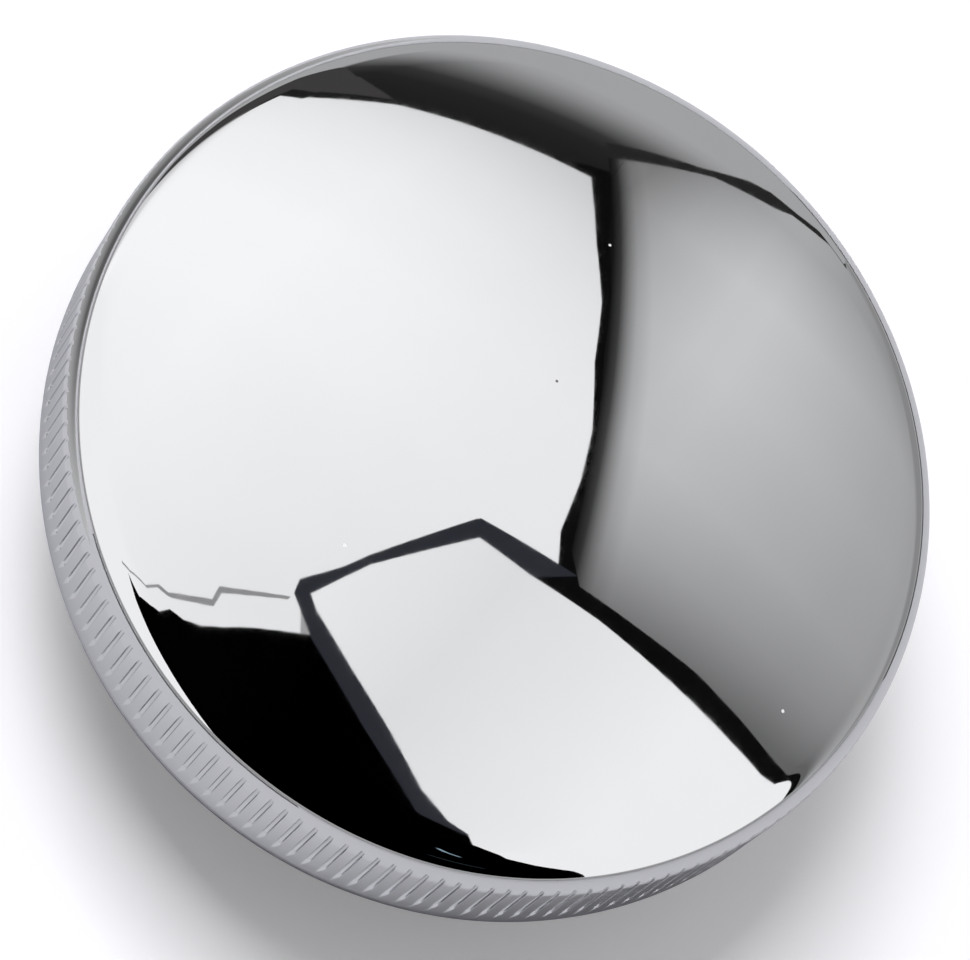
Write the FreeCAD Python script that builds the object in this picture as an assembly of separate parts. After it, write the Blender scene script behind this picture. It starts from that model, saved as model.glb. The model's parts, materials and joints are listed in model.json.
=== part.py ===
import FreeCAD, Part
import math
import os

# Vented screw-in fuel tank cap with a ratchet between the chromed cover and the threaded plug.
# Millimetres. Z is the axis of the cap and points out of the tank.
# The origin is on the axis, in the plane where the neck gasket meets the filler neck.

# Chromed cover, pressed from one sheet, with its lower edge rolled inward
cover_wall = 1.2
dome_radius = 130.0
edge_radius = 4.2
bottom_radius = 5.0
seat_recess = 2.0
shoulder_height = 13.8
lip_step = 0.5

# Grip grooves round the skirt
groove_count = 170
groove_width = 0.55
groove_depth = 0.22
groove_foot_height = 7.3
groove_foot_chamfer = 0.18

# Threaded plug
plug_wall = 2.6
plug_reach = 0.7
plug_lead = 0.8
thread_depth = 1.2
thread_pitch = 4.0
thread_crest = 1.0
thread_flank_deg = 30.0
thread_turns = 2.5
thread_start = 4.6
land_step = 0.2
land_length = 3.0
flange_bearing = 1.4
flange_thickness = 2.6
flange_edge = 0.5
vent_radius = 3.5
spring_boss_drop = 1.5
filter_collar_wall = 1.4
filter_collar_rise = 3.4

# Neck gasket
gasket_height = 2.4
gasket_width = 4.85
gasket_edge = 0.4
gasket_clearance = 0.05
gasket_gap = 1.1
gasket_groove_depth = 0.4
gasket_groove_gap = 0.3

# Ratchet
tooth_count = 24
tooth_height = 1.2
tooth_face = 7.0
tooth_margin = 1.7
tooth_gap = 0.15
tooth_backlash_deg = 0.4
ratchet_step = 1.0
ratchet_body = 2.5
ratchet_clearance = 0.6
key_count = 8
key_width = 3.0
key_reach = 3.1
key_clearance = 0.25
key_foot_gap = 0.9

# Wave spring over the ratchet ring, and its washer
wave_width = 5.0
wave_margin = 0.6
wave_strip = 0.5
wave_height = 1.9
wave_count = 4
washer_width = 6.6
washer_clearance = 0.6
washer_thickness = 0.4

# Driver plate inside the cover
socket_clearance = 0.3
socket_wall = 1.7
driver_deck = 1.9
driver_fit = 0.15
rim_wall = 1.5
rim_web = 1.8
rim_drop = 0.3
gusset_count = 16
gusset_width = 1.4
gusset_span = 2.15
rib_count = 12
rib_width = 1.5
rib_inner = 6.5
rib_gap = 0.15
hub_radius = 8.0

# Retaining ring that holds the plug's flange inside the cover
retainer_drop = 0.3
retainer_fit = 0.1

# Valve housing under the plug's deck
boss_count = 3
boss_radius = 3.0
boss_gap = 1.0
boss_drop = 4.4
housing_edge = 4.4
housing_flange = 2.2
bore_gap = 1.6
chamber_wall = 1.8
bead_inset = 1.2
bead_width = 0.8
bead_height = 0.4
port_clearance = 1.6
port_floor_gap = 0.7
orifice_radius = 1.7
orifice_length = 1.2
snout_wall = 1.6
step_rise = 1.0
housing_seal_section = 0.75
seal_lip = 0.6

# Pressure valve
plate_rim = 0.4
plate_clearance = 0.8
plate_thickness = 1.0
seal_step = 0.8
seal_width = 2.6
seal_thickness = 1.0
pressure_spring_height = 7.0
pressure_spring_inset = 1.6
pressure_spring_clearance = 0.8
pressure_wire = 0.4
pressure_turns = 4.0

# Vacuum valve, carried by the pressure plate
stem_radius = 1.2
stem_clearance = 0.15
stem_end = 0.5
vacuum_travel = 1.5
poppet_rim = 0.4
poppet_thickness = 1.0
poppet_seal_thickness = 0.8
vacuum_port_radius = 0.55
vacuum_port_gap = 0.82
vacuum_port_land = 0.5
vacuum_port_count = 6
vacuum_spring_gap = 1.02
vacuum_wire = 0.18
vacuum_turns = 3.5
vacuum_spring_height = 3.0
clip_rim = 0.62
clip_thickness = 0.6
clip_clearance = 1.3

# Roll-over ball and its cage
ball_radius = 2.5
ball_clearance = 0.3
ball_rest_gap = 0.05
cage_wall = 1.6
cage_length = 6.5
cage_fit = 0.05
cage_floor = 0.9
cage_drop = 0.1
cage_hole_radius = 0.6
cage_hole_circle = 1.7
cage_hole_count = 4

# Vent filter and its baffle
filter_radius = 8.0
filter_height = 2.3
baffle_thickness = 0.6
baffle_hole_radius = 0.7
baffle_hole_circle = 4.6
baffle_hole_count = 8
filter_fit = 0.1

# Housing screws
screw_radius = 1.25
screw_clearance = 0.25
screw_pilot_gap = 0.05
screw_pilot_depth = 8.2
screw_length = 7.6
head_radius = 2.6
head_height = 1.7
head_bevel = 1.0
recess_width = 0.7
recess_length = 3.0
recess_depth = 0.9

# Bevels on moulded and turned edges, and how far a joined feature is sunk into its base
fine_bevel = 0.3
mould_bevel = 0.5
bore_bevel = 0.8
joint_depth = 0.6
thread_joint_depth = 0.3

# Radii, worked out from the valve's stem outwards to the cover
vacuum_spring_radius = stem_radius + vacuum_spring_gap + vacuum_wire
clip_radius = vacuum_spring_radius + vacuum_wire + clip_rim
vacuum_port_circle = vacuum_spring_radius + vacuum_wire + vacuum_port_gap + vacuum_port_radius
poppet_seal_inner = vacuum_port_circle - vacuum_port_radius - vacuum_port_land
poppet_seal_outer = vacuum_port_circle + vacuum_port_radius + vacuum_port_land
poppet_radius = poppet_seal_outer + poppet_rim
port_radius = poppet_radius + port_clearance
seal_inner = port_radius + seal_step
seal_outer = seal_inner + seal_width
bead_radius = seal_inner + bead_inset
plate_radius = seal_outer + plate_rim
pressure_spring_radius = plate_radius - pressure_spring_inset
spring_boss_inner = clip_radius + clip_clearance
spring_boss_outer = pressure_spring_radius - pressure_wire - pressure_spring_clearance
chamber_radius = plate_radius + plate_clearance
chamber_outer = chamber_radius + chamber_wall
boss_circle = chamber_outer + seal_lip + boss_gap + boss_radius
housing_flange_radius = boss_circle + housing_edge
plug_bore = housing_flange_radius + bore_gap
barrel_radius = plug_bore + plug_wall
thread_radius = barrel_radius + thread_depth
land_radius = thread_radius + land_step
gasket_seat_radius = land_radius - gasket_groove_depth
gasket_inner = gasket_seat_radius + gasket_clearance
gasket_radius = gasket_inner + gasket_width
retainer_inner = gasket_radius + gasket_gap
flange_radius = retainer_inner + flange_bearing
lip_radius = flange_radius + lip_step
socket_radius = flange_radius + socket_clearance
socket_outer = socket_radius + socket_wall
rim_inner = socket_outer + gusset_span
rim_radius = rim_inner + rim_wall
cover_radius = rim_radius + driver_fit + cover_wall
key_inner = socket_radius - key_reach
tooth_outer = key_inner - tooth_margin
tooth_inner = tooth_outer - tooth_face
ratchet_inner = tooth_inner - ratchet_step
washer_outer = key_inner - washer_clearance
washer_inner = washer_outer - washer_width
wave_outer = washer_outer - wave_margin
wave_inner = wave_outer - wave_width
cage_bore = ball_radius + ball_clearance
cage_radius = cage_bore + cage_wall

# Heights, worked out from the neck's plane
flange_low = gasket_height
flange_top = flange_low + flange_thickness
lip_low = -seat_recess
shoulder_z = lip_low + shoulder_height
bottom_centre_z = lip_low + bottom_radius
groove_foot_z = lip_low + groove_foot_height
ratchet_low = flange_top + tooth_height + tooth_gap
ratchet_top = ratchet_low + ratchet_body
washer_low = ratchet_top + wave_height
deck_low = washer_low + washer_thickness
deck_top = deck_low + driver_deck
retainer_top = flange_low - retainer_drop
boss_low = flange_low - boss_drop
housing_flange_low = boss_low - housing_flange
plate_top = flange_low - pressure_spring_height
plate_low = plate_top - plate_thickness
bead_top = plate_low - seal_thickness
chamber_floor = bead_top - bead_height
poppet_top = plate_low - poppet_seal_thickness
poppet_low = poppet_top - poppet_thickness
clip_low = plate_top + vacuum_spring_height
stem_top = clip_low + clip_thickness + stem_end
port_floor = poppet_low - vacuum_travel - port_floor_gap
seat_low = port_floor - orifice_length
cage_low = seat_low - cage_length
snout_low = cage_low + cage_drop
ball_z = cage_low + cage_floor + ball_rest_gap + ball_radius
plug_low = cage_low - plug_reach
filter_top = flange_top + filter_height

ORIGIN = FreeCAD.Vector(0, 0, 0)
UP = FreeCAD.Vector(0, 0, 1)


def full_turn(edges):
    """Solid of revolution from the edges of a closed outline in the radial plane."""
    return Part.Face(Part.Wire(edges)).revolve(ORIGIN, UP, 360)


def turned(corners):
    """Solid of revolution; each corner is (radius, height) or (radius, height, bevel)."""
    places = [FreeCAD.Vector(corner[0], 0, corner[1]) for corner in corners]
    outline = []
    for index, corner in enumerate(corners):
        here = places[index]
        if len(corner) < 3:
            outline.append(here)
            continue
        back = (places[index - 1] - here).normalize()
        ahead = (places[(index + 1) % len(corners)] - here).normalize()
        outline.append(here + back * corner[2])
        outline.append(here + ahead * corner[2])
    return full_turn(Part.makePolygon(outline + outline[:1]).Edges)


def ring(inner, outer, low, high):
    """Plain ring, or a disc when inner is zero."""
    return turned([(inner, low), (outer, low), (outer, high), (inner, high)])


def cylinder(radius, low, high, x=0.0, y=0.0):
    """Upright cylinder between two heights."""
    return Part.makeCylinder(radius, high - low, FreeCAD.Vector(x, y, low), UP)


def block(x0, x1, y0, y1, z0, z1):
    """Box between two corners."""
    return Part.makeBox(x1 - x0, y1 - y0, z1 - z0, FreeCAD.Vector(x0, y0, z0))


def around(shape, count, first_deg=0.0):
    """Copies of a shape, evenly spaced round the axis."""
    copies = []
    for index in range(count):
        copy = shape.copy()
        copy.rotate(ORIGIN, UP, first_deg + 360.0 * index / count)
        copies.append(copy)
    return copies


def circle_places(count, radius, first_deg=0.0):
    """Points evenly spaced on a circle round the axis."""
    angles = [math.radians(first_deg + 360.0 * index / count) for index in range(count)]
    return [(radius * math.cos(angle), radius * math.sin(angle)) for angle in angles]


def radial_arc(centre_radius, centre_height, radius, start_deg, end_deg):
    """Arc in the radial plane; angles turn from outward towards up."""
    points = []
    for angle in (start_deg, (start_deg + end_deg) / 2, end_deg):
        turn = math.radians(angle)
        height = centre_height + radius * math.sin(turn)
        points.append(FreeCAD.Vector(centre_radius + radius * math.cos(turn), 0, height))
    return Part.Arc(*points).toShape(), points[0], points[2]


def cover_surface(inset):
    """Edges of the cover's outline from the apex to the lip, moved inward by inset."""
    edge_centre = cover_radius - edge_radius
    slope = math.degrees(math.asin(edge_centre / (dome_radius - edge_radius)))
    dome_z = shoulder_z - (dome_radius - edge_radius) * math.cos(math.radians(slope))
    bottom_centre = cover_radius - bottom_radius
    dome, apex, dome_end = radial_arc(0, dome_z, dome_radius - inset, 90, 90 - slope)
    edge, edge_start, edge_end = radial_arc(edge_centre, shoulder_z, edge_radius - inset, 90 - slope, 0)
    bend, bend_start, bend_end = radial_arc(
        bottom_centre, bottom_centre_z, bottom_radius - inset, 0, -90
    )
    return [dome, edge, Part.makeLine(edge_end, bend_start), bend], apex, bend_end


def grip_groove():
    """One cutter for a straight grip groove with a narrowed foot."""
    half = groove_width / 2
    floor = cover_radius - groove_depth
    top = shoulder_z + edge_radius
    outline = [
        (-half, top),
        (-half, groove_foot_z + groove_foot_chamfer),
        (-half + groove_foot_chamfer, groove_foot_z),
        (half - groove_foot_chamfer, groove_foot_z),
        (half, groove_foot_z + groove_foot_chamfer),
        (half, top),
    ]
    corners = [FreeCAD.Vector(floor, across, height) for across, height in outline]
    face = Part.Face(Part.makePolygon(corners + corners[:1]))
    return face.extrude(FreeCAD.Vector(cover_wall, 0, 0))


def cover_shell():
    """Domed cover with its grooved skirt and the lower edge rolled round to a lip."""
    outer, apex, outer_end = cover_surface(0)
    inner, inner_apex, inner_end = cover_surface(cover_wall)
    lip_end = lip_radius + cover_wall / 2
    low = FreeCAD.Vector(lip_end, 0, lip_low)
    nose = FreeCAD.Vector(lip_radius, 0, lip_low + cover_wall / 2)
    high = FreeCAD.Vector(lip_end, 0, lip_low + cover_wall)
    edges = outer + [
        Part.makeLine(outer_end, low),
        Part.Arc(low, nose, high).toShape(),
        Part.makeLine(high, inner_end),
    ]
    edges += inner[::-1] + [Part.makeLine(inner_apex, apex)]
    shell = full_turn(edges)
    return shell.cut(Part.makeCompound(around(grip_groove(), groove_count)))


def under_dome(inset, inner, outer, low):
    """Solid between a height and the cover's dome, moved inward by inset."""
    surface, apex, end = cover_surface(inset)
    corner = FreeCAD.Vector(end.x, 0, low)
    foot = FreeCAD.Vector(0, 0, low)
    filled = full_turn(surface + [
        Part.makeLine(end, corner),
        Part.makeLine(corner, foot),
        Part.makeLine(foot, apex),
    ])
    return filled.common(ring(inner, outer, low, shoulder_z + dome_radius))


def driver_plate():
    """Moulded plate fixed in the cover: socket, keys for the ratchet, rim and dome ribs."""
    rim_top = shoulder_z - rim_drop
    web_low = rim_top - rim_web
    plate = ring(0, socket_outer, deck_low, deck_top)
    socket = ring(socket_radius, socket_outer, retainer_top, deck_low)
    web = ring(socket_radius, rim_radius, web_low, rim_top)
    rim = turned([
        (rim_inner, retainer_top),
        (rim_radius, retainer_top, mould_bevel),
        (rim_radius, rim_top),
        (rim_inner, rim_top),
    ])
    key = block(key_inner, socket_outer, -key_width / 2, key_width / 2,
                flange_top + key_foot_gap, deck_low)
    gusset = block(socket_outer - socket_wall / 2, rim_inner + rim_wall / 2,
                   -gusset_width / 2, gusset_width / 2, retainer_top + rim_wall, web_low)
    keys = around(key.cut(cylinder(key_inner, retainer_top, deck_top)), key_count)
    gussets = around(gusset, gusset_count, 180.0 / gusset_count)
    rib_space = under_dome(cover_wall + rib_gap, rib_inner, socket_outer, deck_low)
    strip = block(0, socket_outer, -rib_width / 2, rib_width / 2, deck_low, shoulder_z + dome_radius)
    ribs = [piece.common(rib_space) for piece in around(strip, rib_count)]
    hub = under_dome(cover_wall + rib_gap, rib_inner, hub_radius, deck_low)
    return plate.fuse([socket, web, rim, hub] + keys + gussets + ribs).removeSplitter()


def retaining_ring():
    """Ring that sits in the rolled lip and carries the rim of the plug's flange."""
    inset = cover_wall + retainer_fit
    radius = bottom_radius - inset
    centre = cover_radius - bottom_radius
    start = math.degrees(math.asin((retainer_top - bottom_centre_z) / radius))
    bend, top, low = radial_arc(centre, bottom_centre_z, radius, start, -90)
    inner_low = FreeCAD.Vector(retainer_inner, 0, low.z)
    inner_top = FreeCAD.Vector(retainer_inner, 0, top.z)
    return full_turn([
        bend,
        Part.makeLine(low, inner_low),
        Part.makeLine(inner_low, inner_top),
        Part.makeLine(inner_top, top),
    ])


def ramp_tooth(heights, start_deg):
    """Clockwise saw tooth lofted through radial sections; heights maps 0..1 to (low, high)."""
    steps = 4
    pitch_deg = 360.0 / tooth_count
    sections = []
    for step in range(steps + 1):
        share = step / steps
        low, high = heights(share)
        angle = math.radians(start_deg - pitch_deg * share)
        aim = FreeCAD.Vector(math.cos(angle), math.sin(angle), 0)
        inner = aim * tooth_inner
        outer = aim * tooth_outer
        corners = [inner + UP * low, outer + UP * low, outer + UP * high, inner + UP * high]
        sections.append(Part.makePolygon(corners + corners[:1]))
    return Part.makeLoft(sections, True, False)


def plug_thread():
    """Right-hand coarse thread, swept along a helix on the barrel."""
    slope = math.tan(math.radians(thread_flank_deg))
    crest = thread_crest / 2
    root = crest + (thread_depth + thread_joint_depth) * slope
    root_radius = barrel_radius - thread_joint_depth
    length = thread_turns * thread_pitch
    low = -thread_start - length
    path = Part.makeHelix(thread_pitch, length, barrel_radius)
    path.translate(FreeCAD.Vector(0, 0, low))
    corners = [
        FreeCAD.Vector(root_radius, 0, low - root),
        FreeCAD.Vector(thread_radius, 0, low - crest),
        FreeCAD.Vector(thread_radius, 0, low + crest),
        FreeCAD.Vector(root_radius, 0, low + root),
    ]
    profile = Part.makePolygon(corners + corners[:1])
    return Part.Wire(path).makePipeShell([profile], True, True)


def threaded_plug():
    """Moulded plug: flange with ratchet teeth, gasket groove, threaded barrel and screw bosses."""
    collar_inner = filter_radius + filter_fit
    collar_outer = collar_inner + filter_collar_wall
    body = turned([
        (vent_radius, flange_low),
        (spring_boss_inner, flange_low),
        (spring_boss_inner, flange_low - spring_boss_drop),
        (spring_boss_outer, flange_low - spring_boss_drop),
        (spring_boss_outer, flange_low),
        (plug_bore, flange_low, bore_bevel),
        (plug_bore, plug_low),
        (barrel_radius - plug_lead, plug_low),
        (barrel_radius, plug_low + plug_lead),
        (barrel_radius, -land_length),
        (land_radius, -land_length),
        (land_radius, -gasket_groove_gap),
        (gasket_seat_radius, -gasket_groove_gap),
        (gasket_seat_radius, flange_low),
        (flange_radius, flange_low, flange_edge),
        (flange_radius, flange_top, flange_edge),
        (collar_outer, flange_top),
        (collar_outer, flange_top + filter_collar_rise),
        (collar_inner, flange_top + filter_collar_rise),
        (collar_inner, flange_top),
        (vent_radius, flange_top),
    ])
    tooth = ramp_tooth(
        lambda share: (flange_top - joint_depth, flange_top + tooth_height * share), 0
    )
    pilot = screw_radius + screw_pilot_gap
    pilot_top = housing_flange_low + screw_pilot_depth
    bosses = []
    pilots = []
    for x, y in circle_places(boss_count, boss_circle):
        bosses.append(cylinder(boss_radius, boss_low, flange_low + joint_depth, x, y))
        pilots.append(cylinder(pilot, boss_low, pilot_top, x, y))
    body = body.fuse([plug_thread()] + around(tooth, tooth_count) + bosses)
    return body.cut(Part.makeCompound(pilots)).removeSplitter()


def neck_gasket():
    """Flat rubber ring in the plug's groove under the flange, with bevelled edges."""
    return turned([
        (gasket_inner, 0, gasket_edge),
        (gasket_radius, 0, gasket_edge),
        (gasket_radius, gasket_height, gasket_edge),
        (gasket_inner, gasket_height, gasket_edge),
    ])


def ratchet_ring():
    """Ring keyed to the driver plate, with saw teeth that mesh with the plug's."""
    outer = socket_radius - ratchet_clearance
    body = ring(ratchet_inner, outer, ratchet_low, ratchet_top)
    surface = flange_top + tooth_gap
    tooth = ramp_tooth(
        lambda share: (surface + tooth_height * share, ratchet_low + joint_depth),
        -tooth_backlash_deg,
    )
    notch_half = key_width / 2 + key_clearance
    notch = block(key_inner - key_clearance, socket_radius, -notch_half, notch_half,
                  ratchet_low - tooth_height, ratchet_top + wave_height)
    body = body.fuse(around(tooth, tooth_count))
    return body.cut(Part.makeCompound(around(notch, key_count))).removeSplitter()


def wave_spring():
    """Flat steel strip in a closed ring with an even wave, its crests against the washer."""
    steps = 8
    swing = (wave_height - wave_strip) / 2
    middle = ratchet_top + wave_height / 2
    sections = []
    for step in range(steps + 1):
        share = step / steps
        angle = math.radians(360.0 / wave_count * share)
        height = middle + swing * math.cos(2 * math.pi * share)
        aim = FreeCAD.Vector(math.cos(angle), math.sin(angle), 0)
        inner = aim * wave_inner
        outer = aim * wave_outer
        low = UP * (height - wave_strip / 2)
        high = UP * (height + wave_strip / 2)
        corners = [inner + low, outer + low, outer + high, inner + high]
        sections.append(Part.makePolygon(corners + corners[:1]))
    wave = Part.makeLoft(sections, True, False)
    waves = around(wave, wave_count)
    return waves[0].fuse(waves[1:])


def coil(mean_radius, wire, low, high, turns):
    """Compression spring between two seats; the round wire has eight flats."""
    sides = 8
    length = high - low - 2 * wire
    path = Part.makeHelix(length / turns, length, mean_radius)
    path.translate(FreeCAD.Vector(0, 0, low + wire))
    corners = []
    for side in range(sides):
        angle = 2 * math.pi * (side + 0.5) / sides
        reach = wire / math.cos(math.pi / sides)
        height = low + wire + reach * math.sin(angle)
        corners.append(FreeCAD.Vector(mean_radius + reach * math.cos(angle), 0, height))
    section = Part.makePolygon(corners + corners[:1])
    return Part.Wire(path).makePipeShell([section], True, True)


def valve_housing():
    """Moulded housing: flange, spring chamber with a seat bead, port, orifice and cage socket."""
    rim = flange_low - 2 * housing_seal_section
    snout = cage_radius + cage_fit + snout_wall
    port_outer = port_radius + snout_wall
    body = turned([
        (orifice_radius, seat_low),
        (cage_radius + cage_fit, seat_low),
        (cage_radius + cage_fit, snout_low),
        (snout, snout_low, mould_bevel),
        (snout, seat_low),
        (port_outer, seat_low + step_rise, mould_bevel),
        (port_outer, chamber_floor - snout_wall),
        (chamber_outer, chamber_floor - snout_wall + step_rise, bore_bevel),
        (chamber_outer, housing_flange_low),
        (housing_flange_radius, housing_flange_low, mould_bevel),
        (housing_flange_radius, boss_low),
        (chamber_outer + seal_lip, boss_low),
        (chamber_outer + seal_lip, rim + housing_seal_section),
        (chamber_outer, rim + housing_seal_section),
        (chamber_outer, rim),
        (chamber_radius, rim),
        (chamber_radius, chamber_floor),
        (bead_radius + bead_width / 2, chamber_floor),
        (bead_radius + bead_width / 2, bead_top),
        (bead_radius - bead_width / 2, bead_top),
        (bead_radius - bead_width / 2, chamber_floor),
        (port_radius, chamber_floor),
        (port_radius, port_floor),
        (orifice_radius, port_floor),
    ])
    holes = []
    for x, y in circle_places(boss_count, boss_circle):
        holes.append(cylinder(screw_radius + screw_clearance, housing_flange_low, boss_low, x, y))
    return body.cut(Part.makeCompound(holes))


def housing_seal():
    """Rubber ring of round section between the housing's rim and the plug's deck."""
    centre = FreeCAD.Vector(0, 0, flange_low - housing_seal_section)
    return Part.makeTorus(chamber_radius + chamber_wall / 2, housing_seal_section, centre, UP)


def housing_screws():
    """Three pan-head screws that hold the housing to the plug's bosses."""
    screws = []
    for x, y in circle_places(boss_count, boss_circle):
        top = housing_flange_low
        shank = cylinder(screw_radius, top - head_height / 2, top + screw_length - head_height, x, y)
        head = turned([
            (0, top),
            (head_radius, top),
            (head_radius, top - head_height, head_bevel),
            (0, top - head_height),
        ])
        head.translate(FreeCAD.Vector(x, y, 0))
        low = top - head_height - recess_depth
        high = top - head_height + recess_depth
        slot = block(x - recess_length / 2, x + recess_length / 2,
                     y - recess_width / 2, y + recess_width / 2, low, high)
        cross = block(x - recess_width / 2, x + recess_width / 2,
                      y - recess_length / 2, y + recess_length / 2, low, high)
        screws.append(head.fuse(shank).cut(slot.fuse(cross)).removeSplitter())
    return Part.makeCompound(screws)


def pressure_plate():
    """Brass plate with the stem hole and a ring of vacuum ports."""
    plate = ring(stem_radius + stem_clearance, plate_radius, plate_low, plate_top)
    ports = []
    for x, y in circle_places(vacuum_port_count, vacuum_port_circle):
        ports.append(cylinder(vacuum_port_radius, plate_low, plate_top, x, y))
    return plate.cut(Part.makeCompound(ports))


def vacuum_poppet():
    """Turned poppet: disc under the plate and a stem that passes up through it."""
    return turned([
        (0, poppet_low),
        (poppet_radius, poppet_low, fine_bevel),
        (poppet_radius, poppet_top),
        (stem_radius, poppet_top),
        (stem_radius, stem_top, fine_bevel),
        (0, stem_top),
    ])


def ball_cage():
    """Brass tube with a drilled floor that keeps the ball under the orifice."""
    cage = turned([
        (0, cage_low),
        (cage_radius, cage_low, fine_bevel),
        (cage_radius, seat_low),
        (cage_bore, seat_low),
        (cage_bore, cage_low + cage_floor),
        (0, cage_low + cage_floor),
    ])
    holes = []
    for x, y in circle_places(cage_hole_count, cage_hole_circle):
        holes.append(cylinder(cage_hole_radius, cage_low, cage_low + cage_floor, x, y))
    return cage.cut(Part.makeCompound(holes))


def baffle_plate():
    """Thin steel disc over the filter, with a ring of vent holes."""
    disc = ring(0, filter_radius, filter_top, filter_top + baffle_thickness)
    holes = []
    for x, y in circle_places(baffle_hole_count, baffle_hole_circle):
        holes.append(cylinder(baffle_hole_radius, filter_top, filter_top + baffle_thickness, x, y))
    return disc.cut(Part.makeCompound(holes))


def all_parts():
    """Every separate piece of the cap, by name."""
    return {
        "cover_shell": cover_shell(),
        "driver_plate": driver_plate(),
        "retaining_ring": retaining_ring(),
        "thrust_washer": ring(washer_inner, washer_outer, washer_low, deck_low),
        "wave_spring": wave_spring(),
        "ratchet_ring": ratchet_ring(),
        "threaded_plug": threaded_plug(),
        "neck_gasket": neck_gasket(),
        "vent_filter": ring(0, filter_radius, flange_top, filter_top),
        "baffle_plate": baffle_plate(),
        "valve_housing": valve_housing(),
        "housing_seal": housing_seal(),
        "housing_screws": housing_screws(),
        "ball_cage": ball_cage(),
        "rollover_ball": Part.makeSphere(ball_radius, FreeCAD.Vector(0, 0, ball_z)),
        "pressure_plate": pressure_plate(),
        "pressure_seal": ring(seal_inner, seal_outer, bead_top, plate_low),
        "pressure_spring": coil(
            pressure_spring_radius, pressure_wire, plate_top, flange_low, pressure_turns
        ),
        "vacuum_poppet": vacuum_poppet(),
        "vacuum_seal": ring(poppet_seal_inner, poppet_seal_outer, poppet_top, plate_low),
        "vacuum_spring": coil(
            vacuum_spring_radius, vacuum_wire, plate_top, clip_low, vacuum_turns
        ),
        "stem_clip": ring(stem_radius, clip_radius, clip_low, clip_low + clip_thickness),
    }


os.makedirs("parts", exist_ok=True)
for name, shape in all_parts().items():
    shape.exportStep(os.path.join("parts", name + ".step"))
    print(name, "solids", len(shape.Solids), "valid", shape.isValid(), "volume", round(shape.Volume, 1))
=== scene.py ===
import json
import math

import bmesh
import bpy
from mathutils import Matrix, Vector


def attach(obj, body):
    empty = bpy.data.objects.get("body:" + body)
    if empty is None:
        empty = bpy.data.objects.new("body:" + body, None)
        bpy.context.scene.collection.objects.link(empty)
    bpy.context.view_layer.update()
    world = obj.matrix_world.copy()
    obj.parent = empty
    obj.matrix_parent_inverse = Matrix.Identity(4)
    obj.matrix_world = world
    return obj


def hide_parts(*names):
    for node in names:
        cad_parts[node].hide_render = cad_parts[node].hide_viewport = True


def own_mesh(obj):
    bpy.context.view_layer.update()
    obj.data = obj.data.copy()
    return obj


# Fuel tank cap. The cover is modelled here in millimetres and scaled to metres when it is finished.
MM = 0.001

# Chromed cover
COVER_RADIUS = 42.0
WALL = 1.2
DOME_RADIUS = 130.0
EDGE_RADIUS = 4.2
BOTTOM_RADIUS = 5.0
SHOULDER_Z = 11.8
LIP_Z = -2.0
LIP_RADIUS = 35.5
GROOVES = 170
GROOVE_WIDTH = 0.6
GROOVE_DEPTH = 0.22
GROOVE_FOOT_Z = 5.2
# Turn of the rounded edge, in radians, over which a groove runs out
GROOVE_RUN_OUT = math.acos(1 - GROOVE_DEPTH / EDGE_RADIUS)
# Share of the depth at shares of the groove's half width, and at heights over its foot
GROOVE_SECTION = [(0.0, 1.0), (0.56, 1.0), (0.66, 0.8), (0.74, 0.42), (0.82, 0.1), (0.9, 0.0), (1.0, 0.0)]
GROOVE_FOOT = [(0.0, 0.0), (0.12, 0.22), (0.24, 0.6), (0.36, 0.9), (0.46, 1.0)]
# Points closer than this become one point
WELD = 0.001
# Tolerance of the planes that cut the groove's column
CUT_TOLERANCE = 0.00001

# Studio: the floor's level and reach in metres, its opening and the cards in millimetres
FLOOR_Z = -0.01802
FLOOR_REACH = 5.0
PLUG_OPENING = 24.0
CARD_HEIGHT = 600.0
# Edges of a torn card that are shorter than this get so many cuts each
TORN_EDGE = 500.0
TEAR_CUTS = 14
TEAR_SEED = 5


def finish_mesh(name, bm, body, sharp_deg=35.0):
    """Makes an object from a bmesh drawn in millimetres, and lets it ride on a body."""
    bmesh.ops.scale(bm, vec=(MM, MM, MM), verts=bm.verts)
    for face in bm.faces:
        face.smooth = True
    for edge in bm.edges:
        edge.smooth = edge.calc_face_angle(0.0) < math.radians(sharp_deg)
    mesh = bpy.data.meshes.new(name)
    bm.to_mesh(mesh)
    bm.free()
    piece = bpy.data.objects.new(name, mesh)
    bpy.context.scene.collection.objects.link(piece)
    if body:
        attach(piece, body)
    return piece


# Cover


def arc_on(bm, vert, centre, degrees, steps):
    """Carries the profile on round an arc in the radial plane."""
    made = bmesh.ops.spin(
        bm, geom=[vert], cent=(centre[0], 0, centre[1]), axis=(0, 1, 0),
        angle=math.radians(degrees), steps=steps, use_merge=False
    )
    return [item for item in made["geom_last"] if isinstance(item, bmesh.types.BMVert)][0]


def line_on(bm, vert, radius, height):
    """Carries the profile on with a straight run."""
    made = bmesh.ops.extrude_vert_indiv(bm, verts=[vert])
    made["verts"][0].co = (radius, 0, height)
    return made["verts"][0]


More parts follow.
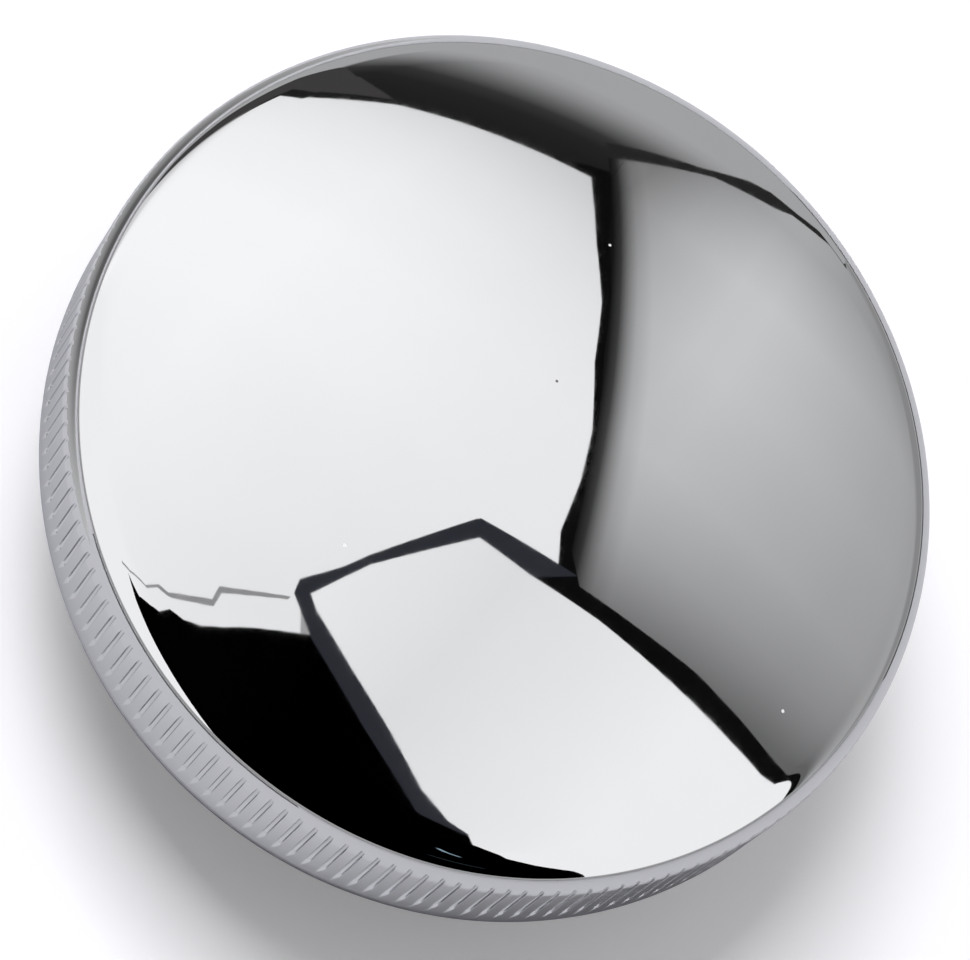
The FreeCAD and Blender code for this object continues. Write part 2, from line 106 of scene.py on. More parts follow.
def cover_profile(bm):
    """Outline of the cover's wall: dome, rounded edge, skirt, rolled lip and back inside."""
    edge_centre = (COVER_RADIUS - EDGE_RADIUS, SHOULDER_Z)
    dome_slope = math.degrees(math.asin(edge_centre[0] / (DOME_RADIUS - EDGE_RADIUS)))
    dome_z = SHOULDER_Z - (DOME_RADIUS - EDGE_RADIUS) * math.cos(math.radians(dome_slope))
    run_out = math.degrees(GROOVE_RUN_OUT)
    bottom = (COVER_RADIUS - BOTTOM_RADIUS, LIP_Z + BOTTOM_RADIUS)
    nose = (LIP_RADIUS + WALL / 2, LIP_Z + WALL / 2)

    point = bm.verts.new((0, 0, dome_z + DOME_RADIUS))
    point = arc_on(bm, point, (0, dome_z), dome_slope, 26)
    point = arc_on(bm, point, edge_centre, 90 - dome_slope - run_out, 12)
    point = arc_on(bm, point, edge_centre, run_out, 6)
    for rise, _ in reversed(GROOVE_FOOT):
        point = line_on(bm, point, COVER_RADIUS, GROOVE_FOOT_Z + rise)
    point = line_on(bm, point, COVER_RADIUS, bottom[1])
    point = arc_on(bm, point, bottom, 90, 12)
    point = line_on(bm, point, nose[0], LIP_Z)
    point = arc_on(bm, point, nose, 180, 6)
    point = line_on(bm, point, bottom[0], LIP_Z + WALL)
    point = arc_on(bm, point, bottom, -90, 6)
    point = line_on(bm, point, COVER_RADIUS - WALL, SHOULDER_Z)
    point = arc_on(bm, point, edge_centre, dome_slope - 90, 6)
    arc_on(bm, point, (0, dome_z), -dome_slope, 12)


def read_off(stops, value):
    """Value of a line drawn through (position, value) stops."""
    for (start, low), (end, high) in zip(stops, stops[1:]):
        if value <= end:
            return low + (high - low) * max(0.0, value - start) / (end - start)
    return stops[-1][1]


def sink_groove(bm, half_angle):
    """Sinks one grip groove into the middle column of a sector; it runs out on the rounded edge."""
    top = SHOULDER_Z + EDGE_RADIUS * math.sin(GROOVE_RUN_OUT)
    column = []
    for face in bm.faces:
        middle = face.calc_center_median()
        turn = math.atan2(middle.y, middle.x)
        outside = math.hypot(middle.x, middle.y) > COVER_RADIUS - WALL / 2
        if outside and abs(turn) < half_angle and GROOVE_FOOT_Z < middle.z < top:
            column.append(face)
    for share, _ in GROOVE_SECTION[1:-1]:
        for turn in (-share * half_angle, share * half_angle):
            edges = {edge for face in column for edge in face.edges}
            cut = bmesh.ops.bisect_plane(
                bm, geom=column + list(edges), dist=CUT_TOLERANCE, plane_co=(0, 0, 0),
                plane_no=(-math.sin(turn), math.cos(turn), 0)
            )
            column = [item for item in cut["geom"] if isinstance(item, bmesh.types.BMFace)]
    for vert in {vert for face in column for vert in face.verts}:
        share = abs(math.atan2(vert.co.y, vert.co.x)) / half_angle
        foot_share = read_off(GROOVE_FOOT, vert.co.z - GROOVE_FOOT_Z)
        depth = GROOVE_DEPTH * read_off(GROOVE_SECTION, share) * foot_share
        radius = math.hypot(vert.co.x, vert.co.y)
        if depth > 0.0 and radius > COVER_RADIUS - depth:
            vert.co.x *= (COVER_RADIUS - depth) / radius
            vert.co.y *= (COVER_RADIUS - depth) / radius


def chrome_cover():
    """Cover with its grip grooves: one sector of the wall, repeated round the axis."""
    bm = bmesh.new()
    cover_profile(bm)
    pitch = 2 * math.pi / GROOVES
    half_groove = GROOVE_WIDTH / 2 / COVER_RADIUS
    half_land = pitch / 2 - half_groove
    bmesh.ops.rotate(bm, cent=(0, 0, 0), matrix=Matrix.Rotation(-pitch / 2, 3, "Z"), verts=bm.verts)
    edge_row = list(bm.verts) + list(bm.edges)
    for angle in (half_land, 2 * half_groove, half_land):
        made = bmesh.ops.spin(
            bm, geom=edge_row, cent=(0, 0, 0), axis=(0, 0, 1), angle=angle, steps=1, use_merge=False
        )
        edge_row = made["geom_last"]
    bmesh.ops.remove_doubles(bm, verts=bm.verts, dist=WELD)
    sink_groove(bm, half_groove)
    bmesh.ops.spin(
        bm, geom=list(bm.verts) + list(bm.edges) + list(bm.faces), cent=(0, 0, 0), axis=(0, 0, 1),
        angle=pitch * (GROOVES - 1), steps=GROOVES - 1, use_duplicate=True, use_merge=False
    )
    bmesh.ops.remove_doubles(bm, verts=bm.verts, dist=WELD)
    bmesh.ops.recalc_face_normals(bm, faces=bm.faces)
    cover = finish_mesh("chrome_cover", bm, "cover", sharp_deg=75.0)
    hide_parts("cover_shell")
    return cover


# Materials


def new_material(name):
    """New material with its node tree, its shader and the object's own coordinates."""
    material = bpy.data.materials.new(name)
    material.use_nodes = True
    tree = material.node_tree
    shader = tree.nodes["Principled BSDF"]
    place = tree.nodes.new("ShaderNodeTexCoord").outputs["Object"]
    return material, tree, shader, place


def noise(tree, place, scale, detail=4.0, roughness=0.6, stretch=None):
    """Noise on the object's own coordinates; scale is in cells per metre."""
    if stretch:
        mapping = tree.nodes.new("ShaderNodeMapping")
        mapping.inputs["Scale"].default_value = stretch
        tree.links.new(place, mapping.inputs["Vector"])
        place = mapping.outputs["Vector"]
    node = tree.nodes.new("ShaderNodeTexNoise")
    node.inputs["Scale"].default_value = scale
    node.inputs["Detail"].default_value = detail
    node.inputs["Roughness"].default_value = roughness
    tree.links.new(place, node.inputs["Vector"])
    return node.outputs["Fac"]


def ramp(tree, value, stops):
    """Colour ramp with (position, grey or colour) stops."""
    node = tree.nodes.new("ShaderNodeValToRGB")
    elements = node.color_ramp.elements
    while len(elements) < len(stops):
        elements.new(1.0)
    for element, (position, colour) in zip(elements, stops):
        if not isinstance(colour, tuple):
            colour = (colour, colour, colour)
        element.position = position
        element.color = (*colour, 1.0)
    tree.links.new(value, node.inputs["Fac"])
    return node.outputs["Color"]


def maths(tree, operation, first, second=0.0):
    """Result of a maths node; each input is a number or another node's output."""
    node = tree.nodes.new("ShaderNodeMath")
    node.operation = operation
    for socket, value in zip(node.inputs, (first, second)):
        if isinstance(value, (int, float)):
            socket.default_value = value
        else:
            tree.links.new(value, socket)
    return node.outputs["Value"]


def bump(tree, shader, height, strength, distance):
    """Small relief of a surface; distance is its height in metres."""
    node = tree.nodes.new("ShaderNodeBump")
    node.inputs["Strength"].default_value = strength
    node.inputs["Distance"].default_value = distance
    tree.links.new(height, node.inputs["Height"])
    tree.links.new(node.outputs["Normal"], shader.inputs["Normal"])


def axis_radius(tree, place):
    """Distance of a point from the cap's axis."""
    parts = tree.nodes.new("ShaderNodeSeparateXYZ")
    tree.links.new(place, parts.inputs["Vector"])
    squares = [maths(tree, "POWER", parts.outputs[axis], 2.0) for axis in ("X", "Y")]
    return maths(tree, "SQRT", maths(tree, "ADD", squares[0], squares[1]))


def specks(tree, place, spots):
    """One within the radius of any of the (point, radius) spots, and zero elsewhere."""
    mask = 0.0
    for point, radius in spots:
        gap = tree.nodes.new("ShaderNodeVectorMath")
        gap.operation = "DISTANCE"
        gap.inputs[1].default_value = point
        tree.links.new(place, gap.inputs[0])
        mask = maths(tree, "MAXIMUM", maths(tree, "LESS_THAN", gap.outputs["Value"], radius), mask)
    return mask


def tinted(tree, share, plain, colour):
    """The plain colour, changed to another colour by a share."""
    mix = tree.nodes.new("ShaderNodeMix")
    mix.data_type = "RGBA"
    mix.inputs["B"].default_value = (*colour, 1.0)
    tree.links.new(share, mix.inputs["Factor"])
    tree.links.new(plain, mix.inputs["A"])
    return mix.outputs["Result"]


def scratch(tree, place):
    """Faint on a fine scratch, 3.6 mm long, on the dome."""
    middle_x, middle_y, slant = -0.01038, 0.026, 0.065
    half_width, half_length, strength = 0.00003, 0.0018, 0.45
    parts = tree.nodes.new("ShaderNodeSeparateXYZ")
    tree.links.new(place, parts.inputs["Vector"])
    along = maths(tree, "SUBTRACT", parts.outputs["Y"], middle_y)
    aside = maths(tree, "ADD", parts.outputs["X"], -middle_x)
    across = maths(tree, "ADD", maths(tree, "MULTIPLY", along, slant), aside)
    narrow = maths(tree, "LESS_THAN", maths(tree, "ABSOLUTE", across), half_width)
    short = maths(tree, "LESS_THAN", maths(tree, "ABSOLUTE", along), half_length)
    return maths(tree, "MULTIPLY", maths(tree, "MULTIPLY", narrow, short), strength)


def groove_wall_painted_shade(tree, place):
    """Strong on the walls of the grip grooves, as painted shade that darkens them; less on one side."""
    inner_radius = 0.0417
    shares_per_metre = 2500.0
    sunk = maths(tree, "SUBTRACT", axis_radius(tree, place), inner_radius)
    sunk = maths(tree, "MULTIPLY", sunk, shares_per_metre)
    wall = ramp(tree, sunk, [(0.2, 0.0), (0.32, 1.0), (0.62, 1.0), (0.72, 0.0)])
    parts = tree.nodes.new("ShaderNodeSeparateXYZ")
    tree.links.new(place, parts.inputs["Vector"])
    height_span = 0.02
    height = maths(tree, "MULTIPLY", parts.outputs["Z"], 1 / height_span)
    straight = ramp(tree, height, [(0.27, 0.0), (0.3, 1.0), (0.59, 1.0), (0.615, 0.0)])
    side_fall, side_middle = -12.0, 0.55
    side = maths(tree, "ADD", maths(tree, "MULTIPLY", parts.outputs["X"], side_fall), side_middle)
    side = ramp(tree, side, [(0.1, 0.1), (0.45, 0.85), (0.65, 0.8), (0.9, 0.4), (1.0, 0.35)])
    return maths(tree, "MULTIPLY", maths(tree, "MULTIPLY", wall, straight), side)


def chrome():
    """Bright plating: faint haze and waves, dust specks, a scratch, and painted shade on the groove walls.

    A separate program followed the specks and the scratch from the photograph to the dome.
    """
    material, tree, shader, place = new_material("bright_chrome")
    haze = noise(tree, place, 60.0, 3.0)
    streaks = noise(tree, place, 900.0, 6.0, 0.7)
    rough = ramp(tree, maths(tree, "MULTIPLY", haze, streaks), [(0.12, 0.012), (0.55, 0.05)])
    tree.links.new(rough, shader.inputs["Roughness"])
    tint = ramp(tree, haze, [(0.3, (0.825, 0.832, 0.85)), (0.7, (0.845, 0.85, 0.865))])
    dark_dust = specks(tree, place, [((-0.00117, 0.00388, 0.02175), 0.00014)])
    pale_dust = specks(tree, place, [
        ((-0.00516, -0.02172, 0.01988), 0.00018),
        ((0.03435, -0.00292, 0.01716), 0.00016),
        ((-0.00608, 0.01899, 0.02027), 0.00013),
    ])
    marks = maths(tree, "MAXIMUM", scratch(tree, place), dark_dust)
    colour = tinted(tree, marks, tint, (0.2, 0.19, 0.18))
    # Painted shade: darkens the walls of the grip grooves.
    colour = tinted(tree, groove_wall_painted_shade(tree, place), colour, (0.3, 0.3, 0.34))
    colour = tinted(tree, pale_dust, colour, (0.95, 0.95, 0.95))
    tree.links.new(colour, shader.inputs["Base Color"])
    tree.links.new(maths(tree, "SUBTRACT", 1.0, pale_dust), shader.inputs["Metallic"])
    bump(tree, shader, noise(tree, place, 45.0, 1.0, 0.3), 0.02, 0.0002)
    return material


def moulding(name, dark, light, gloss, grain):
    """Moulded plastic: fine spark-eroded grain, slightly uneven gloss."""
    material, tree, shader, place = new_material(name)
    cloud = noise(tree, place, 90.0, 3.0)
    tree.links.new(ramp(tree, cloud, [(0.3, dark), (0.7, light)]), shader.inputs["Base Color"])
    tree.links.new(ramp(tree, cloud, [(0.3, gloss - 0.06), (0.7, gloss + 0.06)]), shader.inputs["Roughness"])
    bump(tree, shader, noise(tree, place, grain, 2.0), 0.25, 0.00006)
    return material


def rubber():
    """Matt rubber with a bloom of pale dust and fine grain."""
    material, tree, shader, place = new_material("matt_rubber")
    bloom = noise(tree, place, 160.0, 5.0)
    colour = ramp(tree, bloom, [(0.35, (0.014, 0.014, 0.015)), (0.75, (0.035, 0.034, 0.033))])
    tree.links.new(colour, shader.inputs["Base Color"])
    tree.links.new(ramp(tree, bloom, [(0.3, 0.62), (0.7, 0.8)]), shader.inputs["Roughness"])
    bump(tree, shader, noise(tree, place, 2600.0, 3.0), 0.3, 0.00005)
    return material


def drawn_steel():
    """Bright drawn wire and strip, with fine lines along the pull."""
    material, tree, shader, place = new_material("drawn_steel")
    shader.inputs["Metallic"].default_value = 1.0
    lines = noise(tree, place, 500.0, 4.0, 0.6, (1.0, 1.0, 6.0))
    tree.links.new(
        ramp(tree, lines, [(0.3, (0.46, 0.46, 0.47)), (0.7, (0.6, 0.6, 0.61))]), shader.inputs["Base Color"]
    )
    tree.links.new(ramp(tree, lines, [(0.3, 0.2), (0.7, 0.36)]), shader.inputs["Roughness"])
    bump(tree, shader, lines, 0.12, 0.00004)
    return material


def zinc_plate():
    """Zinc plating: pale, faintly warm in places, with a satin grain."""
    material, tree, shader, place = new_material("zinc_plate")
    shader.inputs["Metallic"].default_value = 1.0
    cloud = noise(tree, place, 240.0, 5.0)
    colour = ramp(tree, cloud, [
        (0.3, (0.62, 0.62, 0.61)), (0.55, (0.72, 0.71, 0.68)), (0.8, (0.74, 0.7, 0.6)),
    ])
    tree.links.new(colour, shader.inputs["Base Color"])
    tree.links.new(ramp(tree, cloud, [(0.3, 0.26), (0.7, 0.42)]), shader.inputs["Roughness"])
    bump(tree, shader, noise(tree, place, 3000.0, 2.0), 0.15, 0.00004)
    return material


def turned_brass():
    """Brass with fine turning rings, 0.15 mm apart, round the axis and a light brown tarnish."""
    material, tree, shader, place = new_material("turned_brass")
    shader.inputs["Metallic"].default_value = 1.0
    tarnish = noise(tree, place, 300.0, 4.0)
    colour = ramp(tree, tarnish, [(0.35, (0.78, 0.6, 0.28)), (0.75, (0.6, 0.44, 0.2))])
    tree.links.new(colour, shader.inputs["Base Color"])
    tree.links.new(ramp(tree, tarnish, [(0.3, 0.2), (0.7, 0.36)]), shader.inputs["Roughness"])
    radians_per_metre = 42000.0
    rings = maths(tree, "SINE", maths(tree, "MULTIPLY", axis_radius(tree, place), radians_per_metre))
    bump(tree, shader, rings, 0.1, 0.00002)
    return material


def felt():
    """Pressed felt: matted fibres, mottled grey-brown."""
    material, tree, shader, place = new_material("pressed_felt")
    shader.inputs["Sheen Weight"].default_value = 0.3
    shader.inputs["Roughness"].default_value = 0.95
    fibres = noise(tree, place, 2200.0, 6.0, 0.75)
    colour = ramp(tree, fibres, [(0.3, (0.42, 0.4, 0.35)), (0.7, (0.68, 0.66, 0.6))])
    tree.links.new(colour, shader.inputs["Base Color"])
    bump(tree, shader, fibres, 0.6, 0.0002)
    return material


def dress_nodes(frame, finishes):
    """Gives every carried-over node the finish of its material slot."""
    for subpart in frame["record"]["subparts"]:
        mesh = frame["nodes"][subpart["node"]].data
        mesh.materials.clear()
        mesh.materials.append(finishes[subpart["material_slot"]])


def squeezed_springs(frame):
    """Springs that a joint squeezes: each is a copy of its own node that rides on the node's body, and the
    node is hidden.
    """
    behaviour = frame["record"]["behaviour"]
    homes = {node: body for body, nodes in behaviour["bodies"].items() for node in nodes}
    for joint in behaviour["joints"]:
        for squeezed in joint.get("deforming_nodes", []):
            node = squeezed["node"]
            spring = bpy.data.objects.new("squeezed_" + node, frame["nodes"][node].data.copy())
            bpy.context.scene.collection.objects.link(spring)
            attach(spring, homes[node])
            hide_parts(node)
            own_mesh(spring)


# Reflections, floor, lamps and camera
# The corners and tones of the cards weren't designed here. Separate programs, which aren't part of
# this script, read points, edges and tones in the photograph and followed its view by way of the dome
# to the plane of the cards. The results were rounded and adjusted.


def flat_light(name, colour):
    """Even light of a card."""
    material = bpy.data.materials.new(name)
    material.use_nodes = True
    tree = material.node_tree
    tree.nodes.clear()
    glow = tree.nodes.new("ShaderNodeEmission")
    output = tree.nodes.new("ShaderNodeOutputMaterial")
    if not isinstance(colour, tuple):
        colour = (colour, colour, colour)
    glow.inputs["Color"].default_value = (*colour, 1.0)
    tree.links.new(glow.outputs["Emission"], output.inputs["Surface"])
    return material, tree, glow


def shade_across(tree, start, end, stops):
    """Tone that changes along a line; stops are shares of the way from start to end."""
    run = Vector(end) - Vector(start)
    shift = tree.nodes.new("ShaderNodeVectorMath")
    shift.operation = "SUBTRACT"
    shift.inputs[1].default_value = (start[0] * MM, start[1] * MM, 0)
    tree.links.new(tree.nodes.new("ShaderNodeTexCoord").outputs["Object"], shift.inputs[0])
    along = tree.nodes.new("ShaderNodeVectorMath")
    along.operation = "DOT_PRODUCT"
    along.inputs[1].default_value = (run.x / run.length_squared / MM, run.y / run.length_squared / MM, 0)
    tree.links.new(shift.outputs["Vector"], along.inputs[0])
    return ramp(tree, along.outputs["Value"], stops)


def shade_round(tree, centre, reach, stops):
    """Tone that changes with the distance from a point; stops are shares of the reach."""
    level = tree.nodes.new("ShaderNodeVectorMath")
    level.operation = "MULTIPLY"
    level.inputs[1].default_value = (1, 1, 0)
    tree.links.new(tree.nodes.new("ShaderNodeTexCoord").outputs["Object"], level.inputs[0])
    gap = tree.nodes.new("ShaderNodeVectorMath")
    gap.operation = "DISTANCE"
    gap.inputs[1].default_value = (centre[0] * MM, centre[1] * MM, 0)
    tree.links.new(level.outputs["Vector"], gap.inputs[0])
    return ramp(tree, maths(tree, "DIVIDE", gap.outputs["Value"], reach * MM), stops)


def shaded_light(name, *shades):
    """Light of a card as the product of tones that change along lines."""
    material, tree, glow = flat_light(name, 1.0)
    light = 1.0
    for shade in shades:
        light = maths(tree, "MULTIPLY", shade_across(tree, *shade), light)
    tree.links.new(light, glow.inputs["Strength"])
    return material


def pooled_light(name, centre, reach, stops):
    """Light of a card that changes with the distance from a point."""
    material, tree, glow = flat_light(name, 1.0)
    tree.links.new(shade_round(tree, centre, reach, stops), glow.inputs["Strength"])
    return material


def card(name, corners, lift, material, tear=0.0):
    """Level studio card, over the cap or just over the floor, with torn edges if asked.

    Only reflections see it. Its lift is its height over the plane of the cards, in millimetres, and a
    card over the cap hides the ones that are lifted more.
    """
    bm = bmesh.new()
    bm.faces.new([bm.verts.new((x, y, CARD_HEIGHT + lift)) for x, y in corners])
    if tear:
        torn = [edge for edge in bm.edges if edge.calc_length() < TORN_EDGE]
        bmesh.ops.subdivide_edges(
            bm, edges=torn, cuts=TEAR_CUTS, fractal=tear, along_normal=1.0, seed=TEAR_SEED
        )
    sheet = finish_mesh(name, bm, None)
    sheet.data.materials.append(material)
    sheet.visible_camera = False
    sheet.visible_diffuse = False
    sheet.visible_shadow = False
    sheet.visible_transmission = False


def sheet_cards():
    """Two white sheets with torn edges, and the dark border of the front one."""
    white = shaded_light(
        "white_sheet_light",
        ((-700, 0), (100, 0), [(0.0, 1.08), (0.46, 1.08), (0.75, 1.0), (1.0, 0.95)]),
        ((0, -50), (0, 780), [
            (0.0, 0.93), (0.3, 1.0), (0.48, 1.0), (0.64, 0.95), (0.78, 0.86), (0.96, 0.7), (1.0, 0.68),
        ])
    )
    card("white_sheet", [
        (24, 158), (118, 187), (96, 219), (78, 284), (53, 347), (5, 433), (-35, 529), (-92, 631),
        (-147, 743), (-166, 782), (-238, 757), (-346, 718), (-430, 684), (-540, 602), (-1158, 735),
        (-2700, 1100), (-9000, 2500), (-9000, -9000), (-440, -9000), (-29, -62), (-61, -25), (-31, 47),
    ], 6, white, tear=0.05)
    low_white = shaded_light(
        "front_sheet_light", ((-50, 0), (350, 0), [(0.0, 0.96), (0.35, 0.85), (1.0, 1.0)])
    )
    card("front_sheet", [
        (38, 142), (100, 153), (189, 179), (332, 212), (509, 252), (3560, 1010), (9000, 2380),
        (9000, -3450), (3042, -1180), (1414, -572), (731, -360), (483, -258), (400, -196), (248, -96),
        (170, -91), (102, -71), (33, -53), (-33, -33), (-48, -24), (-24, 39),
    ], 0, low_white, tear=0.05)
    navy = flat_light("navy_border_light", (0.028, 0.03, 0.038))[0]
    card("front_sheet_border", [
        (26, 160), (140, 195), (60, 100), (60, 0), (300, -90), (190, -113), (82, -88), (-18, -58),
        (-61, -35), (-66, -20), (-44, 16),
    ], 3, navy)


def opening_cards():
    """Black opening below the sheets, with two small glints in it."""
    black = flat_light("black_opening_light", 0.0)[0]
    card("black_opening", [
        (-29, -62), (-45, -73), (-70, -91), (-93, -111), (-110, -124), (-130, -132), (-150, -140),
        (-221, -262), (-334, -434), (-372, -438), (-391, -423), (-452, -647), (-475, -923), (-473, -1379),
        (-490, -2552), (-760, -9000), (9000, -9000), (9000, -1000), (400, 0), (60, 0),
    ], 4, black)
    glint = flat_light("glint_light", (0.3, 0.42, 0.5))[0]
    card("long_glint", [
        (465, -442), (540, -500), (640, -552), (632, -562), (530, -514), (459, -452),
    ], 2, glint)
    faint = flat_light("faint_glint_light", (0.05, 0.07, 0.08))[0]
    card("faint_glint", [(930, -1050), (1400, -1100), (1400, -1130), (928, -1075)], 2, faint)


def wall_cards():
    """Grey wall beside the white sheet, its dark top line, and the dark gaps behind both."""
    grey = shaded_light(
        "grey_wall_light",
        ((-176, 884), (-121, 908), [(0.0, 0.02), (0.2, 0.1), (0.42, 0.5), (0.62, 0.8), (1.0, 1.0)]),
        ((-120, 0), (600, 0), [
            (0.0, 0.27), (0.125, 0.48), (0.2, 0.57), (0.28, 0.65), (0.36, 0.66), (0.55, 0.56),
            (0.77, 0.46), (1.0, 0.4),
        ]),
        ((-39, 130), (-326, 1088), [
            (0.0, 0.34), (0.055, 0.56), (0.09, 0.68), (0.12, 0.75), (0.2, 0.9), (0.4, 1.0),
            (0.66, 1.0), (1.0, 0.7),
        ])
    )
    card("grey_wall", [
        (150, 190), (230, 214), (321, 243), (428, 266), (641, 308), (9000, 2720), (9000, 9000), (1500, 9000),
        (300, 1700), (60, 1270), (-50, 1140), (-176, 884), (-140, 800), (-89, 671), (-34, 558),
        (7, 457), (52, 364), (78, 300), (118, 213),
    ], 7, grey)
    dark_line = flat_light("dark_seam_light", 0.02)[0]
    card("wall_top_line", [
        (-150, 842), (-60, 1100), (50, 1250), (300, 1650), (1500, 8000), (1400, 8000), (300, 1790),
        (100, 1420), (-4, 1290), (-77, 1135), (-150, 1020), (-200, 936),
    ], 8, dark_line)
    card("gap_backing", [
        (-80, -40), (60, -60), (700, 200), (9000, 2200), (9000, 2900), (700, 345), (300, 300),
        (160, 400), (-100, 900), (-200, 800),
    ], 9, flat_light("gap_light", 0.004)[0])


def rear_cards():
    """Rear wall that fades into the dark above the sheets, with a shade on it."""
    sweep = shaded_light("rear_wall_light", ((-360, 700), (-518, 1067), [
        (0.0, 0.012), (0.32, 0.02), (0.45, 0.04), (0.6, 0.16), (0.72, 0.27), (0.86, 0.37), (1.0, 0.42),
    ]))
    card("rear_wall", [(-9000, 600), (9000, 600), (9000, 9000), (-9000, 9000)], 12, sweep)
    shade = flat_light("rear_wall_shade_light", (0.055, 0.052, 0.053))[0]
    card("rear_wall_shade", [
        (-446, 700), (-540, 636), (-1158, 790), (-2700, 1170), (-9000, 2640), (-12000, 5100), (-4655, 2922),
        (-1552, 1516), (-721, 891), (-536, 735),
    ], 10, shade)


def seam_card():
    """Thin seam of the white sheet, with a step in it."""
    seam = flat_light("sheet_seam_light", 0.3)[0]
    card("sheet_seam", [
        (-61, -40), (-122, -80), (-119, -95), (-160, -120), (-175, -125), (-220, -183), (-340, -341),
        (-466, -478), (-466, -491), (-340, -351), (-220, -190), (-175, -131), (-160, -126), (-113, -100),
        (-116, -84), (-61, -44),
    ], 1, seam)


def low_cards():
    """Dark shades just over the floor, which the skirt and the rounded edge mirror."""
    floor_lift = FLOOR_Z / MM - CARD_HEIGHT
    side_shade = pooled_light("side_shade_light", (-165, 10), 130, [
        (0.0, 0.1), (0.35, 0.13), (0.65, 0.3), (1.0, 0.56),
    ])
    card("side_shade", [
        (-64, -75), (-100, -100), (-165, -118), (-230, -100), (-285, -40), (-295, 10), (-285, 60),
        (-230, 120), (-165, 138), (-100, 120), (-64, 95),
    ], floor_lift + 3, side_shade)
    strip = flat_light("low_strip_light", 0.12)[0]
    card("low_strip_left", [
        (-175, -175), (-80, -215), (15, -235), (60, -225), (110, -420), (0, -460), (-160, -420),
        (-340, -330),
    ], floor_lift + 4, strip)
    card("low_strip_right", [
        (235, 160), (180, 270), (90, 330), (20, 350), (60, 1500), (500, 1400), (900, 1100), (1100, 800),
    ], floor_lift + 4, strip)


def reflection_cards():
    """White, grey and dark cards whose reflections draw the pattern on the dome."""
    sheet_cards()
    opening_cards()
    wall_cards()
    rear_cards()
    seam_card()
    low_cards()


def pale_floor():
    """Near white to the camera, darker in reflections, with painted shade under the cap's rim, and open from
    below.
    """
    material = bpy.data.materials.new("pale_floor")
    material.use_nodes = True
    tree = material.node_tree
    tree.nodes.clear()
    path = tree.nodes.new("ShaderNodeLightPath")
    matt = tree.nodes.new("ShaderNodeBsdfDiffuse")
    colour = tree.nodes.new("ShaderNodeMix")
    colour.data_type = "RGBA"
    # Painted shade: the floor colour is darker under and round the cap's rim for every ray but the camera's.
    painted_rim_shade = shade_round(tree, (0, 0), 70, [
        (0.5, (0.36, 0.36, 0.4)), (0.66, (0.42, 0.42, 0.45)), (0.8, (0.6, 0.6, 0.63)),
    ])
    tree.links.new(painted_rim_shade, colour.inputs["A"])
    colour.inputs["B"].default_value = (0.92, 0.91, 0.95, 1.0)
    tree.links.new(path.outputs["Is Camera Ray"], colour.inputs["Factor"])
    tree.links.new(colour.outputs["Result"], matt.inputs["Color"])
    glow = tree.nodes.new("ShaderNodeEmission")
    lift = shade_round(tree, (0, 0), 2000, [
        (0.0, 0.15), (0.08, 0.15), (0.3, 0.35), (0.6, 0.75), (1.0, 0.9),
    ])
    tree.links.new(maths(tree, "MULTIPLY", lift, path.outputs["Is Camera Ray"]), glow.inputs["Strength"])
    both = tree.nodes.new("ShaderNodeAddShader")
    tree.links.new(matt.outputs["BSDF"], both.inputs[0])
    tree.links.new(glow.outputs["Emission"], both.inputs[1])
    open_below = tree.nodes.new("ShaderNodeMixShader")
    tree.links.new(tree.nodes.new("ShaderNodeNewGeometry").outputs["Backfacing"], open_below.inputs["Fac"])
    tree.links.new(both.outputs["Shader"], open_below.inputs[1])
    tree.links.new(tree.nodes.new("ShaderNodeBsdfTransparent").outputs["BSDF"], open_below.inputs[2])
    output = tree.nodes.new("ShaderNodeOutputMaterial")
    tree.links.new(open_below.outputs["Shader"], output.inputs["Surface"])
    return material


def studio_floor():
    """Plain floor that keeps the cap's shadow, with an opening under the plug."""
    bm = bmesh.new()
    made = bmesh.ops.create_circle(bm, cap_ends=False, radius=PLUG_OPENING, segments=96)
    rim = list({edge for vert in made["verts"] for edge in vert.link_edges})
    wide = bmesh.ops.extrude_edge_only(bm, edges=rim)
    outer = [item for item in wide["geom"] if isinstance(item, bmesh.types.BMVert)]
    growth = FLOOR_REACH / MM / PLUG_OPENING
    bmesh.ops.scale(bm, vec=(growth, growth, 1), verts=outer)
    for face in bm.faces:
        face.normal_update()
        if face.normal.z < 0:
            face.normal_flip()
    bmesh.ops.translate(bm, vec=(0, 0, FLOOR_Z / MM), verts=bm.verts)
    floor = finish_mesh("floor", bm, None)
    floor.data.materials.append(pale_floor())


def lamp(name, place, size, power):
    """Soft square lamp aimed at the cap, not mirrored in the chrome."""
    data = bpy.data.lights.new(name, "AREA")
    data.size = size
    data.energy = power
    light = bpy.data.objects.new(name, data)
    light.location = place
    light.rotation_euler = (-Vector(place)).to_track_quat("-Z", "Y").to_euler()
    light.visible_glossy = False
    bpy.context.scene.collection.objects.link(light)


def studio_world():
    """Soft light all round: white to the camera, grey in reflections and dimmer as a light."""
    world = bpy.data.worlds.new("studio")
    world.use_nodes = True
    tree = world.node_tree
    path = tree.nodes.new("ShaderNodeLightPath")
    sky = tree.nodes["Background"]
    soft = maths(tree, "ADD", maths(tree, "MULTIPLY", path.outputs["Is Glossy Ray"], 0.12), 0.28)
    level = maths(tree, "MAXIMUM", path.outputs["Is Camera Ray"], soft)
    tree.links.new(level, sky.inputs["Strength"])
    sky.inputs["Color"].default_value = (1.0, 1.0, 1.0, 1.0)
    bpy.context.scene.world = world


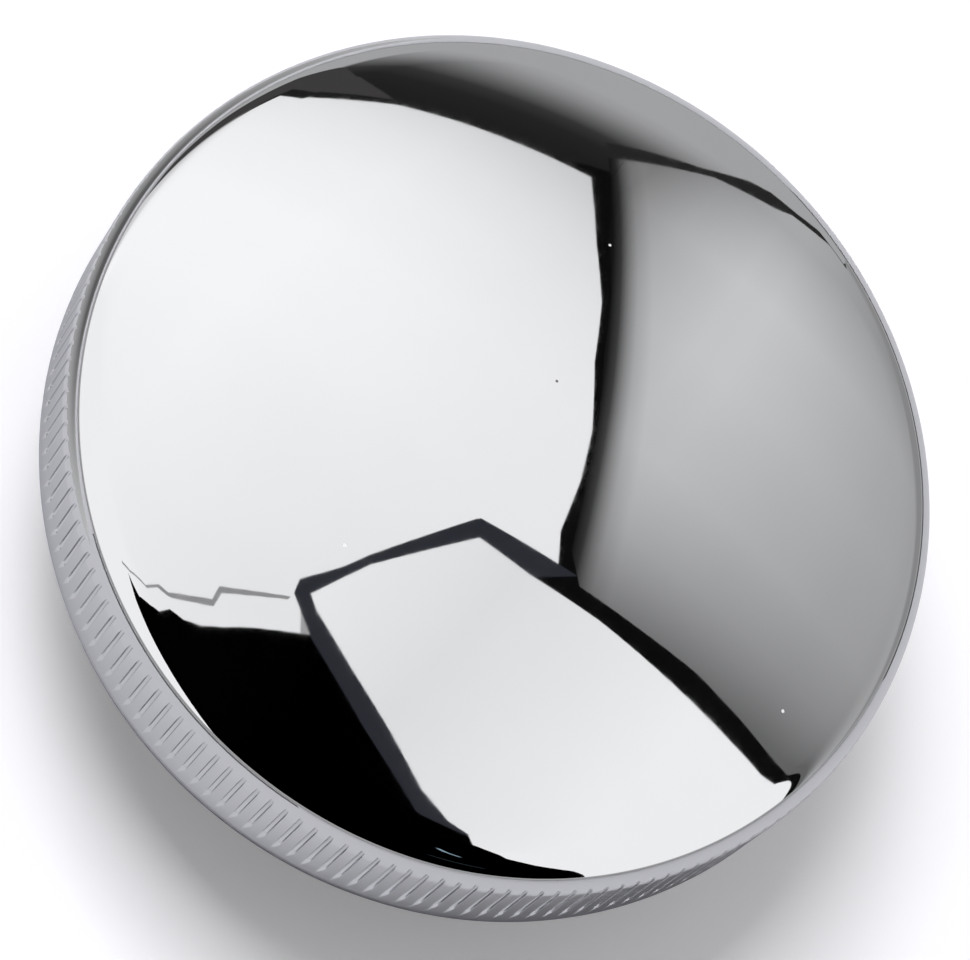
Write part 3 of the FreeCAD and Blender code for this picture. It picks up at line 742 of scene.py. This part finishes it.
def camera():
    """Camera at the photograph's viewing angle, 27 degrees off the cap's axis and rolled.

    A separate program fitted its lens, place and directions to the photograph.
    """
    data = bpy.data.cameras.new("camera")
    data.lens = 166.27
    data.sensor_width = 36.0
    data.clip_end = 50.0
    back = Vector((-0.0042, -0.4509, 0.8926)).normalized()
    right = Vector((0.7358, 0.6031, 0.3081)).normalized()
    axes = Matrix((right, back.cross(right), back)).transposed()
    view = bpy.data.objects.new("camera", data)
    view.matrix_world = Matrix.Translation((-0.0016, -0.1895, 0.3801)) @ axes.to_4x4()
    bpy.context.scene.collection.objects.link(view)
    bpy.context.scene.camera = view
    bpy.context.scene.view_settings.view_transform = "Standard"


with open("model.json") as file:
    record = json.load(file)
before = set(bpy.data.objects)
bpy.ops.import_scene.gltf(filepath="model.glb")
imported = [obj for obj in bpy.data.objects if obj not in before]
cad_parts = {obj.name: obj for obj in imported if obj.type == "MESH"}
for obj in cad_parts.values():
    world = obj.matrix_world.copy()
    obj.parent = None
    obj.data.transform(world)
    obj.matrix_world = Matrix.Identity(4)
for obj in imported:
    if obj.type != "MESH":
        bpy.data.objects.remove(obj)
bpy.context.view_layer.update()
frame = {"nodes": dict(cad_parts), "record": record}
camera()

cover = chrome_cover()
finishes = {
    "chrome_cover": chrome(),
    "black_moulding": moulding("black_moulding", (0.022, 0.022, 0.024), (0.04, 0.04, 0.042), 0.5, 2400.0),
    "plug_moulding": moulding("plug_moulding", (0.026, 0.026, 0.028), (0.045, 0.045, 0.047), 0.38, 1800.0),
    "natural_moulding": moulding("natural_moulding", (0.74, 0.72, 0.63), (0.82, 0.8, 0.72), 0.42, 2000.0),
    "black_rubber": rubber(),
    "spring_steel": drawn_steel(),
    "plated_steel": zinc_plate(),
    "turned_brass": turned_brass(),
    "filter_felt": felt(),
}
dress_nodes(frame, finishes)
cover.data.materials.append(finishes["chrome_cover"])
squeezed_springs(frame)

reflection_cards()
studio_floor()
lamp("key_lamp", (-0.5, 0.09, 1.2), 0.56, 12.6)
lamp("fill_lamp", (0.1, 0.1, 1.25), 0.9, 1.2)
studio_world()
